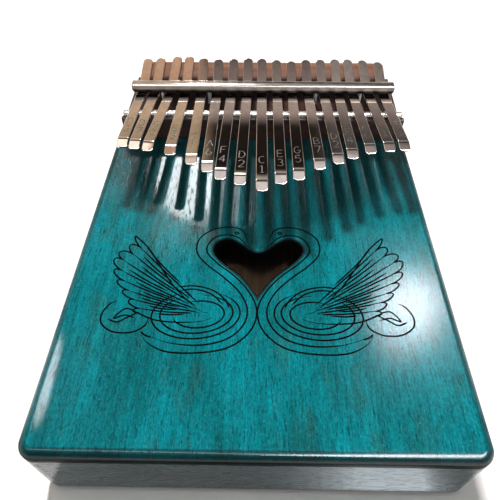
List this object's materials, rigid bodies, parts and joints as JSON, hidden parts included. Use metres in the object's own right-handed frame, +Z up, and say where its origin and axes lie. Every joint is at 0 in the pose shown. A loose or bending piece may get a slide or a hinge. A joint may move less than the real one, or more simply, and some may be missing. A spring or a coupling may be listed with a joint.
{
  "type": "mbira",
  "caption": "Thumb piano on a hollow wooden box: plucked steel tines clamped over a rod by a press bar, above a soundboard with a heart-shaped sound hole.",
  "frame": {"origin": "under the middle of the sound box, on the surface that it stands on", "axes": "+Z up out of the soundboard, +Y along the box from the player's end to the bridge, +X to the player's right"},
  "size_m": [0.1348, 0.185, 0.051],
  "materials": {
    "board_finish": "teal stain under clear gloss lacquer, long grain and pores showing",
    "side_finish": "dark teal stain under clear gloss lacquer",
    "raw_wood": "unfinished wood",
    "bridge_wood": "dark red-brown satin wood",
    "saddle_wood": "light satin wood",
    "nickel": "bright nickel plate",
    "rod_steel": "drawn steel rod",
    "screw_steel": "zinc-plated steel",
    "tine_steel": "polished spring steel with note marks stamped in"
  },
  "bodies": {
    "root": {"soundboard": "board_finish", "back_board": "side_finish", "front_wall": "side_finish", "right_wall": "side_finish", "rear_wall": "side_finish", "left_wall": "side_finish", "bridge_brace": "raw_wood", "bridge_base": "bridge_wood", "front_saddle_rod": "rod_steel", "rear_saddle": "saddle_wood", "press_bar": "nickel", "clamp_screw_1": "screw_steel", "clamp_screw_2": "screw_steel", "clamp_screw_3": "screw_steel", "clamp_screw_4": "screw_steel"},
    "tine_01_body": {"tine_01": "tine_steel"},
    "tine_02_body": {"tine_02": "tine_steel"},
    "tine_03_body": {"tine_03": "tine_steel"},
    "tine_04_body": {"tine_04": "tine_steel"},
    "tine_05_body": {"tine_05": "tine_steel"},
    "tine_06_body": {"tine_06": "tine_steel"},
    "tine_07_body": {"tine_07": "tine_steel"},
    "tine_08_body": {"tine_08": "tine_steel"},
    "tine_09_body": {"tine_09": "tine_steel"},
    "tine_10_body": {"tine_10": "tine_steel"},
    "tine_11_body": {"tine_11": "tine_steel"},
    "tine_12_body": {"tine_12": "tine_steel"},
    "tine_13_body": {"tine_13": "tine_steel"},
    "tine_14_body": {"tine_14": "tine_steel"},
    "tine_15_body": {"tine_15": "tine_steel"},
    "tine_16_body": {"tine_16": "tine_steel"},
    "tine_17_body": {"tine_17": "tine_steel"}
  },
  "joints": [
    {"name": "tine_01_pluck", "type": "hinge", "parent": "root", "child": "tine_01_body", "pos_m": [-0.0548, 0.0493, 0.0458], "axis": [0.9997, -0.0227, 0], "range_deg": [-1, 1.5], "stiffness_Nm_per_rad": 6.35},
    {"name": "tine_02_pluck", "type": "hinge", "parent": "root", "child": "tine_02_body", "pos_m": [-0.0492, 0.0493, 0.0458], "axis": [0.9993, -0.0384, 0], "range_deg": [-1, 1.5], "stiffness_Nm_per_rad": 6.05},
    {"name": "tine_03_pluck", "type": "hinge", "parent": "root", "child": "tine_03_body", "pos_m": [-0.0426, 0.0493, 0.0458], "axis": [0.9973, -0.0732, 0], "range_deg": [-1, 1.5], "stiffness_Nm_per_rad": 5.78},
    {"name": "tine_04_pluck", "type": "hinge", "parent": "root", "child": "tine_04_body", "pos_m": [-0.0348, 0.0493, 0.0458], "axis": [0.9999, -0.0157, 0], "range_deg": [-1, 1.5], "stiffness_Nm_per_rad": 5.31},
    {"name": "tine_05_pluck", "type": "hinge", "parent": "root", "child": "tine_05_body", "pos_m": [-0.0269, 0.0493, 0.0458], "axis": [0.9999, 0.0157, 0], "range_deg": [-1, 1.5], "stiffness_Nm_per_rad": 4.48},
    {"name": "tine_06_pluck", "type": "hinge", "parent": "root", "child": "tine_06_body", "pos_m": [-0.02, 0.0493, 0.0458], "axis": [1, 0.007, 0], "range_deg": [-1, 1.5], "stiffness_Nm_per_rad": 4},
    {"name": "tine_07_pluck", "type": "hinge", "parent": "root", "child": "tine_07_body", "pos_m": [-0.0136, 0.0493, 0.0458], "axis": [0.9998, -0.0175, 0], "range_deg": [-1, 1.5], "stiffness_Nm_per_rad": 3.62},
    {"name": "tine_08_pluck", "type": "hinge", "parent": "root", "child": "tine_08_body", "pos_m": [-0.0064, 0.0493, 0.0458], "axis": [0.9999, -0.0105, 0], "range_deg": [-1, 1.5], "stiffness_Nm_per_rad": 3.4},
    {"name": "tine_09_pluck", "type": "hinge", "parent": "root", "child": "tine_09_body", "pos_m": [0.0007, 0.0493, 0.0458], "axis": [1, 0.0087, 0], "range_deg": [-1, 1.5], "stiffness_Nm_per_rad": 3.19},
    {"name": "tine_10_pluck", "type": "hinge", "parent": "root", "child": "tine_10_body", "pos_m": [0.0077, 0.0493, 0.0458], "axis": [1, 0.0087, 0], "range_deg": [-1, 1.5], "stiffness_Nm_per_rad": 3.45},
    {"name": "tine_11_pluck", "type": "hinge", "parent": "root", "child": "tine_11_body", "pos_m": [0.0146, 0.0493, 0.0458], "axis": [1, 0.007, 0], "range_deg": [-1, 1.5], "stiffness_Nm_per_rad": 3.63},
    {"name": "tine_12_pluck", "type": "hinge", "parent": "root", "child": "tine_12_body", "pos_m": [0.0222, 0.0493, 0.0458], "axis": [0.9997, 0.0244, 0], "range_deg": [-1, 1.5], "stiffness_Nm_per_rad": 4.21},
    {"name": "tine_13_pluck", "type": "hinge", "parent": "root", "child": "tine_13_body", "pos_m": [0.0294, 0.0493, 0.0458], "axis": [0.9994, 0.0349, 0], "range_deg": [-1, 1.5], "stiffness_Nm_per_rad": 4.62},
    {"name": "tine_14_pluck", "type": "hinge", "parent": "root", "child": "tine_14_body", "pos_m": [0.0359, 0.0493, 0.0458], "axis": [0.9998, 0.0209, 0], "range_deg": [-1, 1.5], "stiffness_Nm_per_rad": 5.09},
    {"name": "tine_15_pluck", "type": "hinge", "parent": "root", "child": "tine_15_body", "pos_m": [0.0428, 0.0493, 0.0458], "axis": [0.999, 0.0454, 0], "range_deg": [-1, 1.5], "stiffness_Nm_per_rad": 5.67},
    {"name": "tine_16_pluck", "type": "hinge", "parent": "root", "child": "tine_16_body", "pos_m": [0.0502, 0.0493, 0.0458], "axis": [0.9982, 0.0593, 0], "range_deg": [-1, 1.5], "stiffness_Nm_per_rad": 5.96},
    {"name": "tine_17_pluck", "type": "hinge", "parent": "root", "child": "tine_17_body", "pos_m": [0.0568, 0.0493, 0.0458], "axis": [0.9991, 0.0419, 0], "range_deg": [-1, 1.5], "stiffness_Nm_per_rad": 6.13}
  ]
}
